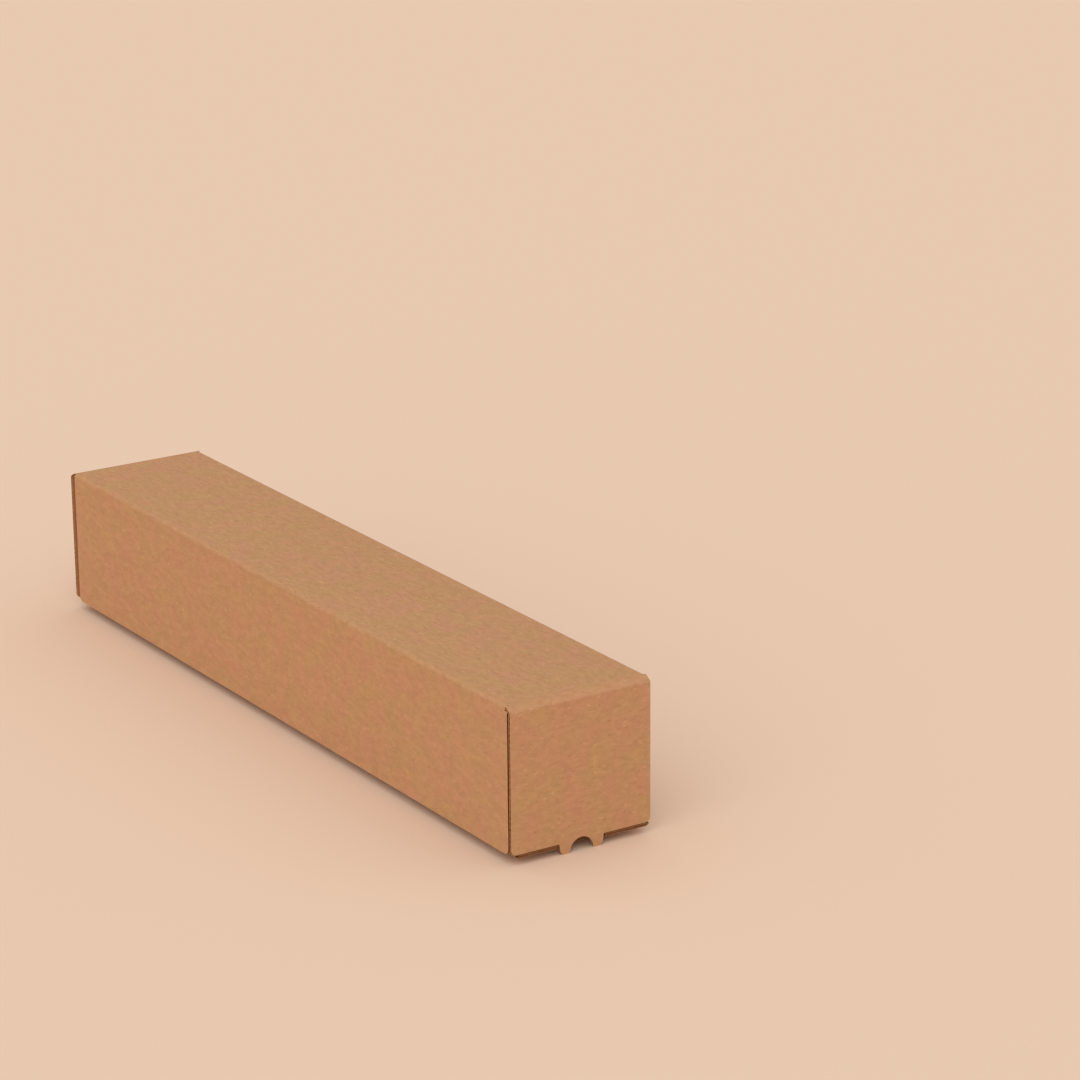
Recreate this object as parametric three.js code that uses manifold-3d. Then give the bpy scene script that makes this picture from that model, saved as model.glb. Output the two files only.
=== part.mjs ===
// Square-section mailing tube of corrugated board, lying on its side.
// Millimetres, +Z up. +X runs along the tube, -Y is the face with the lapped outer panel.
// The origin is under the middle of the tube, on the surface that it lies on.
import * as THREE from 'three';
import { mergeVertices } from 'three/addons/utils/BufferGeometryUtils.js';
import Module from 'manifold-3d';

// Overall sizes, measured outside
const tubeLength = 540;
const tubeWidth = 93.5;
const tubeHeight = 90;

// The board and its folds
const board = 1.6;
const topFoldRadius = 2.4;
const baseFoldRadius = 3.6;
const lapGap = 0.3;
const lapTopGap = 1.2;
const foldGap = 0.3;

// The outer front panel
const frontRise = 1.7;
const frontCornerRadius = 4;

// The dust flaps, folded in from the inner front panel and from the back
const dustFlapLength = 38;
const dustFoldRadius = 3;
const dustToFlapGap = 0.8;
const dustTopGap = 2.4;
const dustBottomGap = 0.8;

// The end flaps, with the tongue that locks over the base
const flapBaseGap = 0.7;
const flapCornerRadius = 3;
const tongueWidth = 31;
const tongueLength = 6.8;
const tongueTaper = 1.6;
const tongueCornerRadius = 2.6;
const thumbRadius = 7.9;
const thumbDepth = 1.3;

// The notch in the base that the tongue passes through
const notchSideGap = 0.7;
const notchGap = 1.2;

const arcSteps = 8;

// Heights and planes that follow from the sizes
const baseUnderside = tongueLength - flapBaseGap - board;
const baseTop = baseUnderside + board;
const topFace = baseUnderside + tubeHeight;
const endFace = tubeLength / 2;
const panelEnd = endFace - board - dustToFlapGap - dustFoldRadius;
const hingeLine = panelEnd + foldGap;
const endFoldRadius = endFace - hingeLine;
const halfWidth = tubeWidth / 2;
const innerFront = -halfWidth + board + lapGap;

const wasm = await Module();
wasm.setup();

// Geometry to solid and back
function solid(geometry) {
  const bare = geometry.clone();
  bare.deleteAttribute('normal');
  bare.deleteAttribute('uv');
  const merged = mergeVertices(bare, 1e-4);
  return new wasm.Manifold(new wasm.Mesh({
    numProp: 3,
    vertProperties: new Float32Array(merged.attributes.position.array),
    triVerts: new Uint32Array(merged.index.array),
  }));
}

function geometryOf(body) {
  const mesh = body.getMesh();
  const geometry = new THREE.BufferGeometry();
  geometry.setAttribute('position', new THREE.BufferAttribute(new Float32Array(mesh.vertProperties), 3));
  geometry.setIndex(new THREE.BufferAttribute(new Uint32Array(mesh.triVerts), 1));
  geometry.computeVertexNormals();
  return geometry;
}

function block(lowX, highX, lowY, highY, lowZ, highZ) {
  const geometry = new THREE.BoxGeometry(highX - lowX, highY - lowY, highZ - lowZ);
  geometry.translate((lowX + highX) / 2, (lowY + highY) / 2, (lowZ + highZ) / 2);
  return solid(geometry);
}

// A sheet of board that follows a route of straight runs with a rounded fold at each corner.
// The route is the line of one face, and the board lies to the left of it.
// Each corner gives the radius of that face: folds to the left take the board inside.
function foldedOutline(route) {
  const outer = [];
  const inner = [];
  const last = route.length - 1;
  route.forEach((corner, i) => {
    const here = new THREE.Vector2(corner.u, corner.v);
    const before = i > 0 ? new THREE.Vector2(route[i - 1].u, route[i - 1].v) : null;
    const after = i < last ? new THREE.Vector2(route[i + 1].u, route[i + 1].v) : null;
    const into = before ? here.clone().sub(before).normalize() : after.clone().sub(here).normalize();
    const leftOf = (d) => new THREE.Vector2(-d.y, d.x);
    if (i === 0 || i === last) {
      outer.push(here.clone());
      inner.push(here.clone().addScaledVector(leftOf(into), board));
      return;
    }
    const start = here.clone().addScaledVector(into, -corner.radius);
    const centre = start.clone().addScaledVector(leftOf(into), corner.radius);
    for (let step = 0; step <= arcSteps; step += 1) {
      const angle = (Math.PI / 2) * (step / arcSteps);
      const spoke = leftOf(into).multiplyScalar(-Math.cos(angle)).addScaledVector(into, Math.sin(angle));
      outer.push(centre.clone().addScaledVector(spoke, corner.radius));
      inner.push(centre.clone().addScaledVector(spoke, corner.radius - board));
    }
  });
  return new THREE.Shape(outer.concat(inner.reverse()));
}

// The tube's section, drawn in Y and Z: outer front, top, back, base and inner front
function sectionAlongX(lowX, highX) {
  const route = [
    { u: -halfWidth, v: baseUnderside + frontRise },
    { u: -halfWidth, v: topFace, radius: topFoldRadius },
    { u: halfWidth, v: topFace, radius: topFoldRadius },
    { u: halfWidth, v: baseUnderside, radius: baseFoldRadius },
    { u: innerFront, v: baseUnderside, radius: baseFoldRadius },
    { u: innerFront, v: topFace - board - lapTopGap },
  ];
  // The route runs with the tube's inside on its right, so it is mirrored for the outline
  const mirrored = route.map((corner) => ({ ...corner, u: -corner.u }));
  const geometry = new THREE.ExtrudeGeometry(foldedOutline(mirrored), {
    depth: highX - lowX,
    bevelEnabled: false,
  });
  // Outline (u, v) with depth w becomes x = w, y = -u, z = v
  geometry.applyMatrix4(new THREE.Matrix4().set(0, 0, 1, lowX, -1, 0, 0, 0, 0, 1, 0, 0, 0, 0, 0, 1));
  return turned(geometry);
}

// A mirroring matrix turns the faces inside out, so each triangle's order is put right
function turned(geometry) {
  const flat = geometry.index ? geometry.toNonIndexed() : geometry;
  const volume = signedVolume(flat);
  if (volume < 0) {
    const p = flat.attributes.position;
    for (let i = 0; i < p.count; i += 3) {
      const b = new THREE.Vector3().fromBufferAttribute(p, i + 1);
      const c = new THREE.Vector3().fromBufferAttribute(p, i + 2);
      p.setXYZ(i + 1, c.x, c.y, c.z);
      p.setXYZ(i + 2, b.x, b.y, b.z);
    }
  }
  return solid(flat);
}

function signedVolume(flat) {
  const p = flat.attributes.position;
  let total = 0;
  for (let i = 0; i < p.count; i += 3) {
    const a = new THREE.Vector3().fromBufferAttribute(p, i);
    const b = new THREE.Vector3().fromBufferAttribute(p, i + 1);
    const c = new THREE.Vector3().fromBufferAttribute(p, i + 2);
    total += a.dot(b.cross(c)) / 6;
  }
  return total;
}

// One dust flap at the +X end: a short stretch of its panel, the fold and the flap itself.
// side is -1 for the inner front panel and +1 for the back.
function dustFlap(side) {
  const panelFace = side < 0 ? innerFront : halfWidth;
  const outerFace = endFace - board - dustToFlapGap;
  const flapTip = panelFace - side * dustFlapLength;
  // Drawn in X and Y with the board to the left of the route
  const route = [
    { u: panelEnd - dustFoldRadius, v: side * panelFace * -1 },
    { u: outerFace, v: side * panelFace * -1, radius: dustFoldRadius },
    { u: outerFace, v: side * flapTip * -1 },
  ];
  const low = baseTop + dustBottomGap;
  const high = topFace - board - dustTopGap;
  const geometry = new THREE.ExtrudeGeometry(foldedOutline(route), { depth: high - low, bevelEnabled: false });
  geometry.applyMatrix4(new THREE.Matrix4().set(1, 0, 0, 0, 0, -side, 0, 0, 0, 0, 1, low, 0, 0, 0, 1));
  return turned(geometry);
}

// What is cut from the outer front panel to round its lower corner at the +X end
function cornerWaste() {
  const shape = new THREE.Shape();
  const spare = 1;
  const cornerZ = baseUnderside + frontRise;
  const roundStart = panelEnd - frontCornerRadius;
  shape.moveTo(panelEnd + spare, cornerZ - spare);
  shape.lineTo(roundStart, cornerZ - spare);
  shape.absarc(roundStart, cornerZ + frontCornerRadius, frontCornerRadius, 1.5 * Math.PI, 2 * Math.PI, false);
  shape.lineTo(panelEnd + spare, cornerZ + frontCornerRadius);
  const geometry = new THREE.ExtrudeGeometry(shape, {
    depth: board + spare,
    bevelEnabled: false,
    curveSegments: arcSteps,
  });
  // Outline (u, v) with depth w becomes x = u, y = w, z = v
  geometry.applyMatrix4(
    new THREE.Matrix4().set(1, 0, 0, 0, 0, 0, 1, -halfWidth - spare, 0, 1, 0, 0, 0, 0, 0, 1),
  );
  return turned(geometry);
}

function mirrorX(body) {
  return body.scale([-1, 1, 1]);
}

function tubeBody() {
  let body = sectionAlongX(-endFace, endFace);
  const spare = 5;
  // Only the base reaches the end face: the other panels stop at their folds
  const clear = block(panelEnd, endFace + spare, -halfWidth - spare, halfWidth + spare, baseTop, topFace + spare);
  body = body.subtract(clear).subtract(mirrorX(clear));
  // The notch that the tongue drops through
  const notchHalf = tongueWidth / 2 + notchSideGap;
  const notch = block(
    endFace - board - notchGap, endFace + spare, -notchHalf, notchHalf, baseUnderside - spare, baseTop + spare,
  );
  body = body.subtract(notch).subtract(mirrorX(notch));
  const waste = cornerWaste();
  body = body.subtract(waste).subtract(mirrorX(waste));
  for (const side of [-1, 1]) {
    const flap = dustFlap(side);
    body = body.add(flap).add(mirrorX(flap));
  }
  return body;
}

// The end flap's outline in Y and Z: lower corners rounded, tongue with a half-round thumb cut
function flapOutline() {
  const low = tongueLength;
  const high = topFace - endFoldRadius;
  const shape = new THREE.Shape();
  const tongueHalf = tongueWidth / 2;
  const tipHalf = tongueHalf - tongueTaper;
  const thumbCentre = low + thumbDepth - thumbRadius;
  const thumbHalf = Math.sqrt(thumbRadius ** 2 - thumbCentre ** 2);
  const thumbStart = Math.atan2(-thumbCentre, thumbHalf);
  const flapCorner = halfWidth - flapCornerRadius;
  const tongueCorner = tipHalf - tongueCornerRadius;
  const downLeft = Math.PI;
  const down = 1.5 * Math.PI;
  const right = 2 * Math.PI;
  shape.moveTo(-halfWidth, high);
  shape.lineTo(-halfWidth, low + flapCornerRadius);
  shape.absarc(-flapCorner, low + flapCornerRadius, flapCornerRadius, downLeft, down, false);
  shape.lineTo(-tongueHalf, low);
  shape.lineTo(-tipHalf, tongueCornerRadius);
  shape.absarc(-tongueCorner, tongueCornerRadius, tongueCornerRadius, downLeft, down, false);
  shape.lineTo(-thumbHalf, 0);
  shape.absarc(0, thumbCentre, thumbRadius, Math.PI - thumbStart, thumbStart, true);
  shape.lineTo(tongueCorner, 0);
  shape.absarc(tongueCorner, tongueCornerRadius, tongueCornerRadius, down, right, false);
  shape.lineTo(tongueHalf, low);
  shape.lineTo(flapCorner, low);
  shape.absarc(flapCorner, low + flapCornerRadius, flapCornerRadius, down, right, false);
  shape.lineTo(halfWidth, high);
  return shape;
}

// The flap at the +X end, hinged on the top panel's outer liner
function endFlap() {
  const spare = 1;
  const plateGeometry = new THREE.ExtrudeGeometry(flapOutline(), {
    depth: board,
    bevelEnabled: false,
    curveSegments: arcSteps * 2,
  });
  plateGeometry.applyMatrix4(
    new THREE.Matrix4().set(0, 0, 1, endFace - board, 1, 0, 0, 0, 0, 1, 0, 0, 0, 0, 0, 1),
  );
  const plate = turned(plateGeometry);
  // The fold, drawn in X and Z from a little below the plate's upper edge to the hinge line
  const route = [
    { u: endFace, v: topFace - endFoldRadius - spare },
    { u: endFace, v: topFace, radius: endFoldRadius },
    { u: hingeLine, v: topFace },
  ];
  const foldGeometry = new THREE.ExtrudeGeometry(foldedOutline(route), { depth: tubeWidth, bevelEnabled: false });
  foldGeometry.applyMatrix4(
    new THREE.Matrix4().set(1, 0, 0, 0, 0, 0, 1, -halfWidth, 0, 1, 0, 0, 0, 0, 0, 1),
  );
  return plate.add(turned(foldGeometry));
}

const kraftOuter = new THREE.MeshStandardMaterial({ color: '#bd8a5e', roughness: 0.88, metalness: 0 });

function piece(name, body) {
  const mesh = new THREE.Mesh(geometryOf(body), kraftOuter.clone());
  mesh.name = name;
  return mesh;
}

const tube = new THREE.Group();
const rightFlap = endFlap();
tube.add(piece('tube_body', tubeBody()));
tube.add(piece('right_end_flap', rightFlap));
tube.add(piece('left_end_flap', mirrorX(rightFlap)));

export default tube;
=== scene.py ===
import math

import bpy
from mathutils import Matrix, Vector


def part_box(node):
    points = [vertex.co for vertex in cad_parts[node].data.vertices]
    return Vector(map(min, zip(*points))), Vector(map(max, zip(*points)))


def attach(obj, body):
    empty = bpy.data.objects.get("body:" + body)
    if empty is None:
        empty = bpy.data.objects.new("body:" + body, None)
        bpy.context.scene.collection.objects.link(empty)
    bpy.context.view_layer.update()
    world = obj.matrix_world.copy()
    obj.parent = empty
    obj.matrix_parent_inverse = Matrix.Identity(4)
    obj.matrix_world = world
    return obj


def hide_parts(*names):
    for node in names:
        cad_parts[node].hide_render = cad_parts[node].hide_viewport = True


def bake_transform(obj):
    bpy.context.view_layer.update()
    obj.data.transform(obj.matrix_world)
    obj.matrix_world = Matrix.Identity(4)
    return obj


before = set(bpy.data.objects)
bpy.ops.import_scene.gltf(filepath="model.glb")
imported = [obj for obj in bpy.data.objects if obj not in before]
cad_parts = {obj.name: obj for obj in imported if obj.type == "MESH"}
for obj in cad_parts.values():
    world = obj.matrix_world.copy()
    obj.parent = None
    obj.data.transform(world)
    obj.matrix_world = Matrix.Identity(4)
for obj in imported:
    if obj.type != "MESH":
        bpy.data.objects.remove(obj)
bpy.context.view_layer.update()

mm = 0.001

# The sheet that the tube is folded from, in metres
bodyLow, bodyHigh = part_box("tube_body")
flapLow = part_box("right_end_flap")[0]
sheet = {
    "board": 1.6 * mm,
    "liner": 0.28 * mm,
    "medium": 0.22 * mm,           # the waved sheet between the liners
    "glueLine": 0.12 * mm,
    "flutePitch": 3.5 * mm,        # fine E-flute
    "halfWidth": bodyHigh[1],
    "top": bodyHigh[2],
    "underside": bodyLow[2],
    "endFace": bodyHigh[0],
    "hingeLine": flapLow[0],
    "panelEnd": flapLow[0] - 0.3 * mm,
    "topFold": 2.4 * mm,
    "baseFold": 3.6 * mm,
}


def deselectAll():
    if bpy.context.mode != "OBJECT":
        bpy.ops.object.mode_set(mode="OBJECT")
    bpy.ops.object.select_all(action="DESELECT")


def makeActive(obj):
    deselectAll()
    obj.select_set(True)
    bpy.context.view_layer.objects.active = obj


def applyModifier(obj, kind, **settings):
    makeActive(obj)
    modifier = obj.modifiers.new(kind.lower(), kind)
    for key, value in settings.items():
        setattr(modifier, key, value)
    bpy.ops.object.modifier_apply(modifier=modifier.name)


def applyPlace(obj):
    makeActive(obj)
    bpy.ops.object.transform_apply(location=True, rotation=True, scale=True)


def outwardNormals(obj):
    makeActive(obj)
    bpy.ops.object.mode_set(mode="EDIT")
    bpy.ops.mesh.select_all(action="SELECT")
    bpy.ops.mesh.remove_doubles(threshold=0.002 * mm)
    bpy.ops.mesh.normals_make_consistent(inside=False)
    bpy.ops.object.mode_set(mode="OBJECT")


def joinAll(parts, name):
    deselectAll()
    for part in parts:
        part.select_set(True)
    bpy.context.view_layer.objects.active = parts[0]
    bpy.ops.object.join()
    parts[0].name = name
    parts[0].data.name = name
    return parts[0]


# A block between two corners, with the edges along one axis rounded where asked
def block(low, high, roundEdges=None, radius=0.0):
    deselectAll()
    centre = [(a + b) / 2 for a, b in zip(low, high)]
    bpy.ops.mesh.primitive_cube_add(size=1, location=centre)
    obj = bpy.context.object
    obj.scale = [b - a for a, b in zip(low, high)]
    applyPlace(obj)
    if roundEdges:
        bpy.ops.object.mode_set(mode="EDIT")
        bpy.ops.mesh.select_mode(type="EDGE")
        bpy.ops.mesh.select_all(action="DESELECT")
        bpy.ops.object.mode_set(mode="OBJECT")
        for edge in obj.data.edges:
            a, b = [obj.data.vertices[i].co for i in edge.vertices]
            edge.select = roundEdges(a, b)
        bpy.ops.object.mode_set(mode="EDIT")
        bpy.ops.mesh.bevel(offset=radius, segments=10, affect="EDGES", clamp_overlap=False)
        bpy.ops.object.mode_set(mode="OBJECT")
    return obj


def cut(obj, cutter, operation="DIFFERENCE", keepCutter=False):
    applyModifier(obj, "BOOLEAN", operation=operation, object=cutter, solver="EXACT")
    if not keepCutter:
        bpy.data.objects.remove(cutter, do_unlink=True)


# Faces made by a die cut get the piece's second material, that of the bare edge, whose colour holds
# painted highlight on the flaps and painted shade on the body
def markCutEdges(obj, isCut):
    for face in obj.data.polygons:
        if isCut(face.normal, face.center):
            face.material_index = 1


def toLinear(code):
    channels = [int(code[i:i + 2], 16) / 255 for i in (1, 3, 5)]
    linear = [c / 12.92 if c <= 0.04045 else ((c + 0.055) / 1.055) ** 2.4 for c in channels]
    return (*linear, 1.0)


def addNode(tree, kind, inputs=None, **settings):
    node = tree.nodes.new(kind)
    for key, value in settings.items():
        setattr(node, key, value)
    for key, value in (inputs or {}).items():
        socket = node.inputs[key]
        if isinstance(value, bpy.types.NodeSocket):
            tree.links.new(value, socket)
        else:
            socket.default_value = value
    return node


# Uncoated kraft liner: long softwood fibres, so it is matt, lightly clouded and flecked.
# grain packs each axis: the fibres lie along the one below 1.
def kraftLiner(name, look, grain):
    material = bpy.data.materials.new(name)
    material.use_nodes = True
    tree = material.node_tree
    shader = tree.nodes["Principled BSDF"]
    place = addNode(tree, "ShaderNodeTexCoord").outputs["Object"]
    alongGrain = addNode(tree, "ShaderNodeMapping", {"Vector": place, "Scale": grain})
    grained = alongGrain.outputs["Vector"]

    # Clouds of pinker and yellower pulp, 6 to 20 mm across, running on from the body over the flaps
    clouds = addNode(tree, "ShaderNodeTexNoise", {"Vector": place, "Scale": look["cloudScale"],
                                                  "Detail": 1.5, "Roughness": 0.4})
    tint = addNode(tree, "ShaderNodeValToRGB", {"Fac": clouds.outputs["Fac"]})
    tint.color_ramp.elements[0].position = 0.35
    tint.color_ramp.elements[0].color = toLinear(look["yellow"])
    tint.color_ramp.elements[1].position = 0.65
    tint.color_ramp.elements[1].color = toLinear(look["pink"])

    # Pulp mottle, 2 to 5 mm
    mottle = addNode(tree, "ShaderNodeTexNoise", {"Vector": grained, "Scale": look["mottleScale"],
                                                  "Detail": 4.0, "Roughness": 0.6})
    shade = addNode(tree, "ShaderNodeMapRange", {"Value": mottle.outputs["Fac"],
                                                 "From Min": 0.3, "From Max": 0.7,
                                                 "To Min": 1 - look["mottle"],
                                                 "To Max": 1 + look["mottle"]})
    mottled = addNode(tree, "ShaderNodeVectorMath", {0: tint.outputs["Color"], 1: shade.outputs["Result"]},
                      operation="MULTIPLY")

    # Fibre bundles: sparse dark and light flecks, 1 mm by 2 mm
    colour = mottled.outputs["Vector"]
    for shift, fleck in ((3.7, look["darkFleck"]), (9.1, look["lightFleck"])):
        moved = addNode(tree, "ShaderNodeVectorMath", {0: grained, 1: (shift, shift, shift)},
                        operation="ADD")
        specks = addNode(tree, "ShaderNodeTexNoise", {"Vector": moved.outputs["Vector"],
                                                      "Scale": look["fleckScale"], "Detail": 1.5})
        mask = addNode(tree, "ShaderNodeMapRange", {"Value": specks.outputs["Fac"], "From Min": 0.62,
                                                    "From Max": 0.74, "To Max": look["fleck"]})
        colour = addNode(tree, "ShaderNodeMix", {"Factor": mask.outputs["Result"], "A": colour,
                                                 "B": toLinear(fleck)}, data_type="RGBA").outputs["Result"]
    tree.links.new(colour, shader.inputs["Base Color"])

    # The flutes show through the liner as a faint washboard, and the pulp is a little rough
    tooth = addNode(tree, "ShaderNodeBump", {"Height": mottle.outputs["Fac"], "Strength": 0.25,
                                             "Distance": 0.05 * mm})
    wave = addNode(tree, "ShaderNodeMath", {0: axisOf(tree, place, look["fluteAxis"]),
                                            1: 2 * math.pi / sheet["flutePitch"]}, operation="MULTIPLY")
    ridge = addNode(tree, "ShaderNodeMath", {0: wave.outputs["Value"]}, operation="SINE")
    washboard = addNode(tree, "ShaderNodeBump", {"Height": ridge.outputs["Value"],
                                                 "Strength": look["washboard"], "Distance": 0.02 * mm,
                                                 "Normal": tooth.outputs["Normal"]})
    tree.links.new(washboard.outputs["Normal"], shader.inputs["Normal"])
    shader.inputs["Roughness"].default_value = 0.92
    shader.inputs["Specular IOR Level"].default_value = 0.12
    return material


def axisOf(tree, vector, axis):
    return addNode(tree, "ShaderNodeSeparateXYZ", {"Vector": vector}).outputs[axis]


# Cut or unlined board: recycled pulp, rougher than the liner and, in the medium, browner. The colours
# given to it also hold painted light: painted shade on the medium and on the body's cut edges, painted
# highlight on the flaps' cut liner edges
def rawBoardWithPaintedLight(name, light, dark, scale):
    material = bpy.data.materials.new(name)
    material.use_nodes = True
    tree = material.node_tree
    shader = tree.nodes["Principled BSDF"]
    place = addNode(tree, "ShaderNodeTexCoord").outputs["Object"]
    pulp = addNode(tree, "ShaderNodeTexNoise", {"Vector": place, "Scale": scale, "Detail": 4.0,
                                                "Roughness": 0.65})
    ramp = addNode(tree, "ShaderNodeValToRGB", {"Fac": pulp.outputs["Fac"]})
    ramp.color_ramp.elements[0].position = 0.35
    ramp.color_ramp.elements[0].color = toLinear(dark)
    ramp.color_ramp.elements[1].position = 0.65
    ramp.color_ramp.elements[1].color = toLinear(light)
    bump = addNode(tree, "ShaderNodeBump", {"Height": pulp.outputs["Fac"], "Strength": 0.4,
                                            "Distance": 0.1 * mm})
    tree.links.new(ramp.outputs["Color"], shader.inputs["Base Color"])
    tree.links.new(bump.outputs["Normal"], shader.inputs["Normal"])
    shader.inputs["Roughness"].default_value = 0.95
    shader.inputs["Specular IOR Level"].default_value = 0.15
    return material


linerLook = {
    "yellow": "#bb8f65",
    "pink": "#be8c68",
    "darkFleck": "#a67449",
    "lightFleck": "#d6a67c",
    "cloudScale": 60.0,
    "mottleScale": 330.0,
    "fleckScale": 640.0,
    "mottle": 0.085,
    "fleck": 0.45,
    "washboard": 0.12,
    "fluteAxis": "X",
}
bodyLiner = kraftLiner("kraft_liner_body", linerLook, (0.45, 1.0, 1.0))
flapLiner = kraftLiner("kraft_liner_flap", {**linerLook, "fluteAxis": "Z"}, (1.0, 0.45, 1.0))
innerLook = {**linerLook, "yellow": "#b3855a", "pink": "#b5825c"}
innerLiner = kraftLiner("kraft_liner_inner", innerLook, (0.45, 1.0, 1.0))
# The medium is browner pulp, but the dark ends of both its colours are painted shade of the gaps between
# layers and of the flute openings
fluting = rawBoardWithPaintedLight("fluting_medium", "#8f4f22", "#5c280a", 500.0)
flutingEdge = rawBoardWithPaintedLight("cut_fluting_edge", "#94582b", "#643413", 900.0)
# The flaps' cut liner edge is a paler copy of the liner: painted highlight, as if each cut catches the
# light
litLinerEdge = rawBoardWithPaintedLight("cut_liner_edge", "#dba97f", "#bf8d62", 900.0)
# The body's own cut edges, at the ends and low on the front, get a darker copy of the cut liner edge:
# painted shade of the gaps under the flaps and by the floor
shadedLinerEdge = rawBoardWithPaintedLight("cut_liner_edge_painted_shade", "#a9693c", "#7d4621", 900.0)
print("materials made")


# Points along a route of straight runs with rounded corners, each with its way inwards.
# The inside is on the right of the route. Where step is given, no two points are further apart.
def routePoints(corners, arcSteps=8, step=None):
    points = []      # each is u, v, the way inwards, and the length travelled
    last = len(corners) - 1

    def place(u, v, inwardU, inwardV):
        travelled = 0.0
        if points:
            travelled = points[-1][4] + math.hypot(u - points[-1][0], v - points[-1][1])
        points.append((u, v, inwardU, inwardV, travelled))

    for i, (u, v, radius) in enumerate(corners):
        if i == 0:
            heading = Vector((corners[1][0] - u, corners[1][1] - v)).normalized()
            place(u, v, heading.y, -heading.x)
            continue
        before = Vector((u - corners[i - 1][0], v - corners[i - 1][1])).normalized()
        turn = 0.0
        if i < last:
            after = Vector((corners[i + 1][0] - u, corners[i + 1][1] - v)).normalized()
            turn = math.acos(max(-1.0, min(1.0, before.dot(after))))
        start = Vector((u, v)) - before * radius * math.tan(turn / 2)
        inward = Vector((before.y, -before.x))
        if step:
            runStart = Vector(points[-1][:2])
            pieces = max(1, math.ceil((start - runStart).length / step))
            for k in range(1, pieces):
                spot = runStart.lerp(start, k / pieces)
                place(spot.x, spot.y, inward.x, inward.y)
        place(start.x, start.y, inward.x, inward.y)
        if i == last:
            continue
        centre = start + inward * radius
        turns = arcSteps if not step else max(arcSteps, math.ceil(radius * turn / step))
        for k in range(1, turns + 1):
            angle = turn * k / turns
            spoke = -inward * math.cos(angle) + before * math.sin(angle)
            place(centre.x + spoke.x * radius, centre.y + spoke.y * radius, -spoke.x, -spoke.y)
    return points


# One liner: a plane on the route's first run, its far edge extruded round the rest, then thickened
def linerSheet(points, depth, toSpace, low, high, materials):
    laid = [(u + nu * depth, v + nv * depth) for u, v, nu, nv, s in points]
    deselectAll()
    bpy.ops.mesh.primitive_plane_add(size=1)
    obj = bpy.context.object
    ends = [toSpace(laid[0], low), toSpace(laid[0], high), toSpace(laid[1], low), toSpace(laid[1], high)]
    for vertex, place in zip(obj.data.vertices, ends):
        vertex.co = place
    bpy.ops.object.mode_set(mode="EDIT")
    bpy.ops.mesh.select_mode(type="EDGE")
    bpy.ops.mesh.select_all(action="DESELECT")
    bpy.ops.object.mode_set(mode="OBJECT")
    for edge in obj.data.edges:
        edge.select = set(edge.vertices) == {2, 3}
    bpy.ops.object.mode_set(mode="EDIT")
    for here, there in zip(laid[1:], laid[2:]):
        move = toSpace(there, 0.0) - toSpace(here, 0.0)
        bpy.ops.mesh.extrude_region_move(TRANSFORM_OT_translate={"value": move})
    bpy.ops.object.mode_set(mode="OBJECT")
    for material in materials:
        obj.data.materials.append(material)
    thicken(obj, points, depth, toSpace, sheet["liner"])
    return obj


# The way the sheet is thickened is read from its first face, so that it always grows inwards
def thicken(obj, points, depth, toSpace, thickness):
    face = obj.data.polygons[0]
    u, v, nu, nv, s = points[0]
    inward = toSpace((nu, nv), 0.0) - toSpace((0.0, 0.0), 0.0)
    offset = 1.0 if face.normal.dot(inward) > 0 else -1.0
    applyModifier(obj, "SOLIDIFY", thickness=thickness, offset=offset, use_even_offset=True,
                  use_rim=True, material_offset_rim=1 if len(obj.data.materials) > 1 else 0)
    outwardNormals(obj)


# The fluted medium: a grid laid along the route, waved in depth
def wavedSheet(points, waveOf, toSpace, places, materials):
    deselectAll()
    countU, countV = len(points), len(places)
    bpy.ops.mesh.primitive_grid_add(x_subdivisions=countV - 1, y_subdivisions=countU - 1, size=1)
    obj = bpy.context.object
    middle = sheet["board"] / 2
    reach = middle - sheet["liner"] - sheet["glueLine"]
    for index, vertex in enumerate(obj.data.vertices):
        u, v, nu, nv, s = points[index // countV]
        place = places[index % countV]
        depth = middle + reach * math.sin(2 * math.pi * waveOf(s, place) / sheet["flutePitch"])
        vertex.co = toSpace((u + nu * depth, v + nv * depth), place)
    for material in materials:
        obj.data.materials.append(material)
    applyModifier(obj, "SOLIDIFY", thickness=sheet["medium"], offset=0.0, use_rim=True,
                  material_offset_rim=1)
    outwardNormals(obj)
    return obj


flapSize = {
    "overlap": 3.0 * mm,           # how far the bending liner runs onto the top panel
    "rollReach": 0.6 * mm,         # the top rolls down over the hinge line this far
    "rollRadius": 5.0 * mm,
    "scoreDrop": 2.9 * mm,
    "scoreRadius": 1.7 * mm,
    "cornerRadius": 3.0 * mm,
    "tongueHalf": 15.5 * mm,
    "tongueTaper": 1.6 * mm,
    "tongueCorner": 2.6 * mm,
    "thumbRadius": 7.9 * mm,
    "thumbRise": 1.3 * mm,
    "lowerEdge": sheet["underside"] + sheet["board"] + 0.7 * mm,
    "cutZone": 12.0 * mm,          # the tongue and the lower corners lie below this height
}


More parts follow.
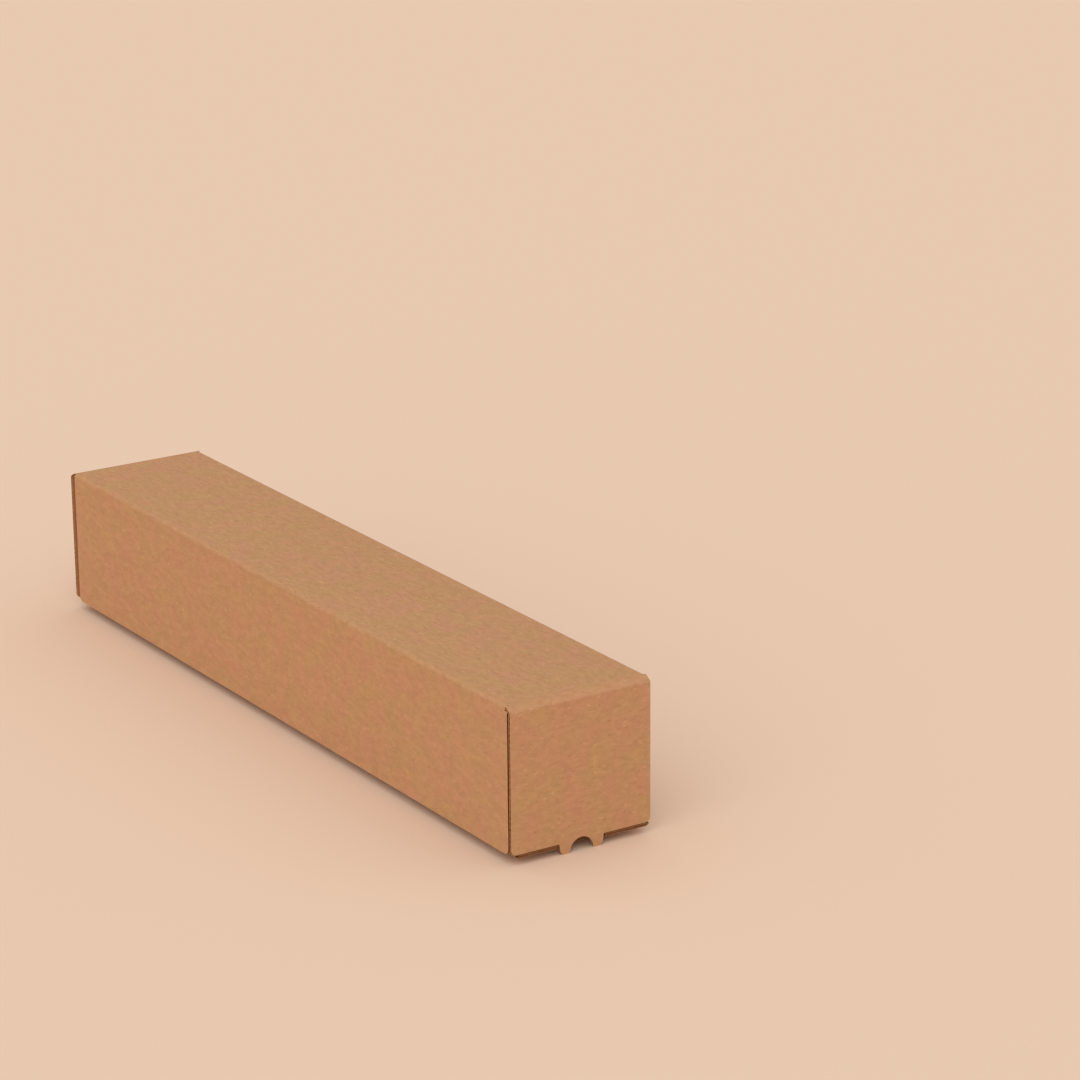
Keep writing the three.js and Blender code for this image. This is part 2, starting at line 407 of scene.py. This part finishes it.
def flapCutter(side):
    spare = 3 * mm
    half = sheet["halfWidth"]
    low = flapSize["lowerEdge"]
    xs = sorted((side * (sheet["hingeLine"] - 4 * mm), side * (sheet["endFace"] + spare)))

    def alongX(a, b):
        return abs(a.x - b.x) > mm

    plate = block((xs[0], -half, low), (xs[1], half, sheet["top"] + spare),
                  lambda a, b: alongX(a, b) and a.z < low + mm, flapSize["cornerRadius"])
    tongue = block((xs[0], -flapSize["tongueHalf"], 0.0), (xs[1], flapSize["tongueHalf"], low + spare))
    for vertex in tongue.data.vertices:
        if vertex.co.z < mm:
            vertex.co.y -= math.copysign(flapSize["tongueTaper"], vertex.co.y)
    makeActive(tongue)
    for edge in tongue.data.edges:
        a, b = [tongue.data.vertices[i].co for i in edge.vertices]
        edge.select = alongX(a, b) and a.z < mm
    bpy.ops.object.mode_set(mode="EDIT")
    bpy.ops.mesh.select_mode(type="EDGE")
    bpy.ops.mesh.bevel(offset=flapSize["tongueCorner"], segments=8, affect="EDGES")
    bpy.ops.object.mode_set(mode="OBJECT")
    cut(plate, tongue, "UNION")
    deselectAll()
    bpy.ops.mesh.primitive_cylinder_add(
        vertices=64, radius=flapSize["thumbRadius"], depth=30 * mm,
        location=(side * sheet["endFace"], 0, low + flapSize["thumbRise"] - flapSize["thumbRadius"]),
        rotation=(0, math.pi / 2, 0))
    thumb = bpy.context.object
    applyPlace(thumb)
    cut(plate, thumb)
    # Beside the folds of the top panel only the middle of the flap runs onto it
    inner = half - sheet["topFold"]
    for sign in (-1, 1):
        ys = sorted((sign * inner, sign * (half + spare)))
        gap = sorted((side * (sheet["hingeLine"] - 6 * mm), side * sheet["hingeLine"]))
        cut(plate, block((gap[0], ys[0], low), (gap[1], ys[1], sheet["top"] + 2 * spare)))
    return plate


def endFlap(side, name):
    def toSpace(uv, w):
        return Vector((side * uv[0], w, uv[1]))

    # The top rolls down a little before the score, where the flap turns sharply
    corners = [
        (sheet["hingeLine"] - flapSize["overlap"], sheet["top"], 0.0),
        (sheet["hingeLine"] + flapSize["rollReach"], sheet["top"], flapSize["rollRadius"]),
        (sheet["endFace"], sheet["top"] - flapSize["scoreDrop"], flapSize["scoreRadius"]),
        (sheet["endFace"], -1 * mm, 0.0),
    ]
    wide = sheet["halfWidth"] + 1 * mm
    coarse = routePoints(corners, arcSteps=14)
    fine = routePoints(corners, step=sheet["flutePitch"] / 10)
    outer = linerSheet(coarse, 0.0, toSpace, -wide, wide, [flapLiner, litLinerEdge])
    inner = linerSheet(coarse, sheet["board"] - sheet["liner"], toSpace, -wide, wide,
                       [innerLiner, litLinerEdge])
    medium = wavedSheet(fine, lambda s, w: s, toSpace, [-wide, wide], [fluting, flutingEdge])
    cutter = flapCutter(side)
    for layer in (outer, inner, medium):
        cut(layer, cutter, "INTERSECT", keepCutter=True)
        markCutEdges(layer, lambda normal, centre: abs(normal.x) < 0.5 and
                     (abs(normal.y) > 0.5 or centre.z < flapSize["cutZone"]))
    bpy.data.objects.remove(cutter, do_unlink=True)
    return joinAll([outer, inner, medium], name)


nearFlap = endFlap(1, "near_flap_board")
farFlap = endFlap(-1, "far_flap_board")
print("end flaps made")


def bodySpace(uv, w):
    return Vector((w, uv[0], uv[1]))


bodySize = {
    "frontRise": 1.7 * mm,
    # By side: close behind the near flap, and wider open at the far one
    "frontEnd": {1: sheet["hingeLine"] + 1.8 * mm, -1: sheet["panelEnd"]},
    "frontEndTop": sheet["top"] - 2.9 * mm,
    "frontCorner": 4.0 * mm,
    "lapGap": 0.3 * mm,
    "lapTopGap": 1.2 * mm,
    "notchHalf": 16.2 * mm,
    "notchDepth": 2.8 * mm,
    "notchZone": 7.0 * mm,         # its cut faces lie below this height
    "dustLength": 38.0 * mm,
    "dustGap": 0.8 * mm,
    "dustTopGap": 2.4 * mm,
    "dustLowGap": 0.8 * mm,
    "dustFold": 3.0 * mm,
    "endBand": 9.0 * mm,
    "lowerBand": 6.0 * mm,
}


def bodyCorners():
    half = sheet["halfWidth"]
    lap = -half + sheet["board"] + bodySize["lapGap"]
    return [
        (-half, sheet["underside"] + bodySize["frontRise"], 0.0),
        (-half, sheet["top"], sheet["topFold"]),
        (half, sheet["top"], sheet["topFold"]),
        (half, sheet["underside"], sheet["baseFold"]),
        (lap, sheet["underside"], sheet["baseFold"]),
        (lap, sheet["top"] - sheet["board"] - bodySize["lapTopGap"], 0.0),
    ]


def bodyCutters():
    spare = 5 * mm
    half = sheet["halfWidth"]
    baseTop = sheet["underside"] + sheet["board"]
    cutters = []
    for side in (-1, 1):
        ends = sorted((side * sheet["panelEnd"], side * (sheet["endFace"] + spare)))
        behindFront = -half + sheet["board"] + 0.15 * mm
        cutters.append(block((ends[0], behindFront, baseTop),
                             (ends[1], half + spare, sheet["top"] + spare)))
        # The outer front panel runs on towards the flap, up to the underside of its fold
        cutters.append(block((ends[0], -half - spare, bodySize["frontEndTop"]),
                             (ends[1], behindFront + mm, sheet["top"] + spare)))
        fronts = sorted((side * bodySize["frontEnd"][side], side * (sheet["endFace"] + spare)))
        cutters.append(block((fronts[0], -half - spare, baseTop),
                             (fronts[1], behindFront + mm, sheet["top"] + spare)))
        # The middle of the top panel stops where the flap's bending liner starts
        tops = sorted((side * (sheet["hingeLine"] - flapSize["overlap"]), side * (sheet["panelEnd"] + mm)))
        inner = half - sheet["topFold"]
        cutters.append(block((tops[0], -inner, sheet["top"] - sheet["board"] - 0.5 * mm),
                             (tops[1], inner, sheet["top"] + spare)))
        notch = sorted((side * (sheet["endFace"] - bodySize["notchDepth"]),
                        side * (sheet["endFace"] + spare)))
        cutters.append(block((notch[0], -bodySize["notchHalf"], sheet["underside"] - spare),
                             (notch[1], bodySize["notchHalf"], baseTop + mm)))
        # The outer front panel's rounded lower corner
        radius = bodySize["frontCorner"]
        cornerX = side * bodySize["frontEnd"][side]
        cornerZ = sheet["underside"] + bodySize["frontRise"]
        xs = sorted((cornerX - side * radius, cornerX + side * mm))
        waste = block((xs[0], -half - mm, cornerZ - mm),
                      (xs[1], -half + sheet["board"] + 0.1 * mm, cornerZ + radius))
        deselectAll()
        bpy.ops.mesh.primitive_cylinder_add(vertices=64, radius=radius, depth=20 * mm,
                                            location=(cornerX - side * radius, -half, cornerZ + radius),
                                            rotation=(math.pi / 2, 0, 0))
        rounding = bpy.context.object
        applyPlace(rounding)
        cut(waste, rounding)
        cutters.append(waste)
    return cutters


def tubeSheet():
    corners = bodyCorners()
    coarse = routePoints(corners, arcSteps=10)
    reach = sheet["endFace"]
    # The body's liners take the painted-shade copy of the cut edge
    outer = linerSheet(coarse, 0.0, bodySpace, -reach, reach, [bodyLiner, shadedLinerEdge])
    inner = linerSheet(coarse, sheet["board"] - sheet["liner"], bodySpace, -reach, reach,
                       [innerLiner, shadedLinerEdge])
    liners = [outer, inner]
    mediums = []
    # Flutes run round the tube, so they show as waves along the free lower edge of the front
    lowerRun = [corners[0], (corners[0][0], corners[0][1] + bodySize["lowerBand"], 0.0)]
    reachFront = bodySize["frontEnd"][1]
    steps = round(2 * reachFront / sheet["flutePitch"] * 8)
    along = [-reachFront + 2 * reachFront * k / steps for k in range(steps + 1)]
    mediums.append(wavedSheet(routePoints(lowerRun), lambda s, w: w, bodySpace, along,
                              [fluting, flutingEdge]))
    # At the ends the last few flutes close the space between the liners
    bandStart = sheet["hingeLine"] - bodySize["endBand"]
    bandSteps = 40
    for side in (-1, 1):
        band = [side * (bandStart + (reach - bandStart) * k / bandSteps) for k in range(bandSteps + 1)]
        mediums.append(wavedSheet(coarse, lambda s, w: w, bodySpace, band, [fluting, flutingEdge]))
    for cutter in bodyCutters():
        for layer in liners + mediums:
            cut(layer, cutter, keepCutter=True)
        bpy.data.objects.remove(cutter, do_unlink=True)

    def inNotch(normal, centre):
        near = abs(centre.y) < bodySize["notchHalf"] + mm and centre.z < bodySize["notchZone"]
        return near and abs(normal.y) > 0.9

    for liner in liners:
        markCutEdges(liner, lambda normal, centre: abs(normal.x) > 0.3 or inNotch(normal, centre))
    for medium in mediums:
        markCutEdges(medium, lambda normal, centre: abs(normal.x) > 0.9 or inNotch(normal, centre))
    return liners + mediums


# A dust flap: solid board, folded in from its panel, hidden until an end flap opens
def dustFlap(side, across):
    half = sheet["halfWidth"]
    face = half if across > 0 else half - sheet["board"] - bodySize["lapGap"]
    outer = sheet["endFace"] - sheet["board"] - bodySize["dustGap"]

    def toSpace(uv, w):
        return Vector((side * uv[0], -across * uv[1], w))

    corners = [
        (outer - bodySize["dustFold"] - 0.05 * mm, -face, 0.0),
        (outer, -face, bodySize["dustFold"]),
        (outer, -face + bodySize["dustLength"], 0.0),
    ]
    low = sheet["underside"] + sheet["board"] + bodySize["dustLowGap"]
    high = sheet["top"] - sheet["board"] - bodySize["dustTopGap"]
    return low, high, corners, toSpace


def dustFlaps():
    made = []
    for side in (-1, 1):
        for across in (-1, 1):
            low, high, corners, toSpace = dustFlap(side, across)
            # The inside is on the left here, so the route is walked from its far end
            corners.reverse()
            points = routePoints(corners, arcSteps=10)
            fine = routePoints(corners, step=0.6 * mm)
            made.append(linerSheet(points, 0.0, toSpace, low, high, [innerLiner, litLinerEdge]))
            made.append(linerSheet(points, sheet["board"] - sheet["liner"], toSpace, low, high,
                                   [innerLiner, litLinerEdge]))
            made.append(wavedSheet(fine, lambda s, w: s, toSpace, [low, high], [fluting, flutingEdge]))
    return made


tubeBoard = joinAll(tubeSheet() + dustFlaps(), "tube_board")
print("tube body made")

for obj in (nearFlap, farFlap, tubeBoard):
    makeActive(obj)
    bpy.ops.object.shade_smooth_by_angle(angle=math.radians(35))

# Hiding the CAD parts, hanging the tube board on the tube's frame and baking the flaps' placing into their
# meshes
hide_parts("right_end_flap")
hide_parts("left_end_flap")
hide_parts("tube_body")
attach(tubeBoard, "tube")
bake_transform(nearFlap)
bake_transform(farFlap)


def makeFloor():
    deselectAll()
    bpy.ops.mesh.primitive_plane_add(size=14, location=(0, 0, 0))
    floor = bpy.context.object
    floor.name = "floor"
    material = bpy.data.materials.new("pale_paper_backdrop")
    material.use_nodes = True
    shader = material.node_tree.nodes["Principled BSDF"]
    shader.inputs["Base Color"].default_value = toLinear("#eacdb6")
    shader.inputs["Roughness"].default_value = 1.0
    shader.inputs["Specular IOR Level"].default_value = 0.0
    floor.data.materials.append(material)


lights = {
    "worldColour": "#fffcf7",
    "worldStrength": 0.8,
    "keyFrom": (0.52, -0.62, 0.58),   # lights the end and the front alike
    "keyStrength": 1.0,
    "keySpread": 70,                  # degrees: as soft as a wall of diffusers
}


def makeLights():
    world = bpy.data.worlds.new("soft_studio")
    world.use_nodes = True
    background = world.node_tree.nodes["Background"]
    background.inputs["Color"].default_value = toLinear(lights["worldColour"])
    background.inputs["Strength"].default_value = lights["worldStrength"]
    bpy.context.scene.world = world
    deselectAll()
    bpy.ops.object.light_add(type="SUN", location=[3 * c for c in lights["keyFrom"]])
    key = bpy.context.object
    key.name = "key_diffuser"
    key.data.energy = lights["keyStrength"]
    key.data.angle = math.radians(lights["keySpread"])
    key.rotation_euler = Vector([-c for c in lights["keyFrom"]]).to_track_quat("-Z", "Y").to_euler()


# A long lens, looking down along the tube from past its near end
view = {
    "aim": (0.2294, 0.0, 0.1725),
    "azimuth": 57.2,
    "elevation": 18.0,
    "roll": -0.49,
    "distance": 2.1462,
    "focal": 128.38,
}


def makeCamera():
    deselectAll()
    bpy.ops.object.camera_add()
    camera = bpy.context.object
    camera.name = "camera"
    azimuth = math.radians(view["azimuth"])
    elevation = math.radians(view["elevation"])
    roll = math.radians(view["roll"])
    back = Vector((math.sin(azimuth) * math.cos(elevation), -math.cos(azimuth) * math.cos(elevation),
                   math.sin(elevation)))
    right = (-back).cross(Vector((0, 0, 1))).normalized()
    up = right.cross(-back)
    rolledRight = right * math.cos(roll) + up * math.sin(roll)
    rolledUp = up * math.cos(roll) - right * math.sin(roll)
    place = Vector(view["aim"]) + back * view["distance"]
    turn = Matrix((rolledRight, rolledUp, back)).transposed().to_4x4()
    camera.matrix_world = Matrix.Translation(place) @ turn
    camera.data.sensor_width = 36
    camera.data.lens = view["focal"]
    camera.data.clip_end = 50
    bpy.context.scene.camera = camera


makeFloor()
makeLights()
makeCamera()
bpy.context.scene.view_settings.view_transform = "Standard"
print("floor, lights and camera made")
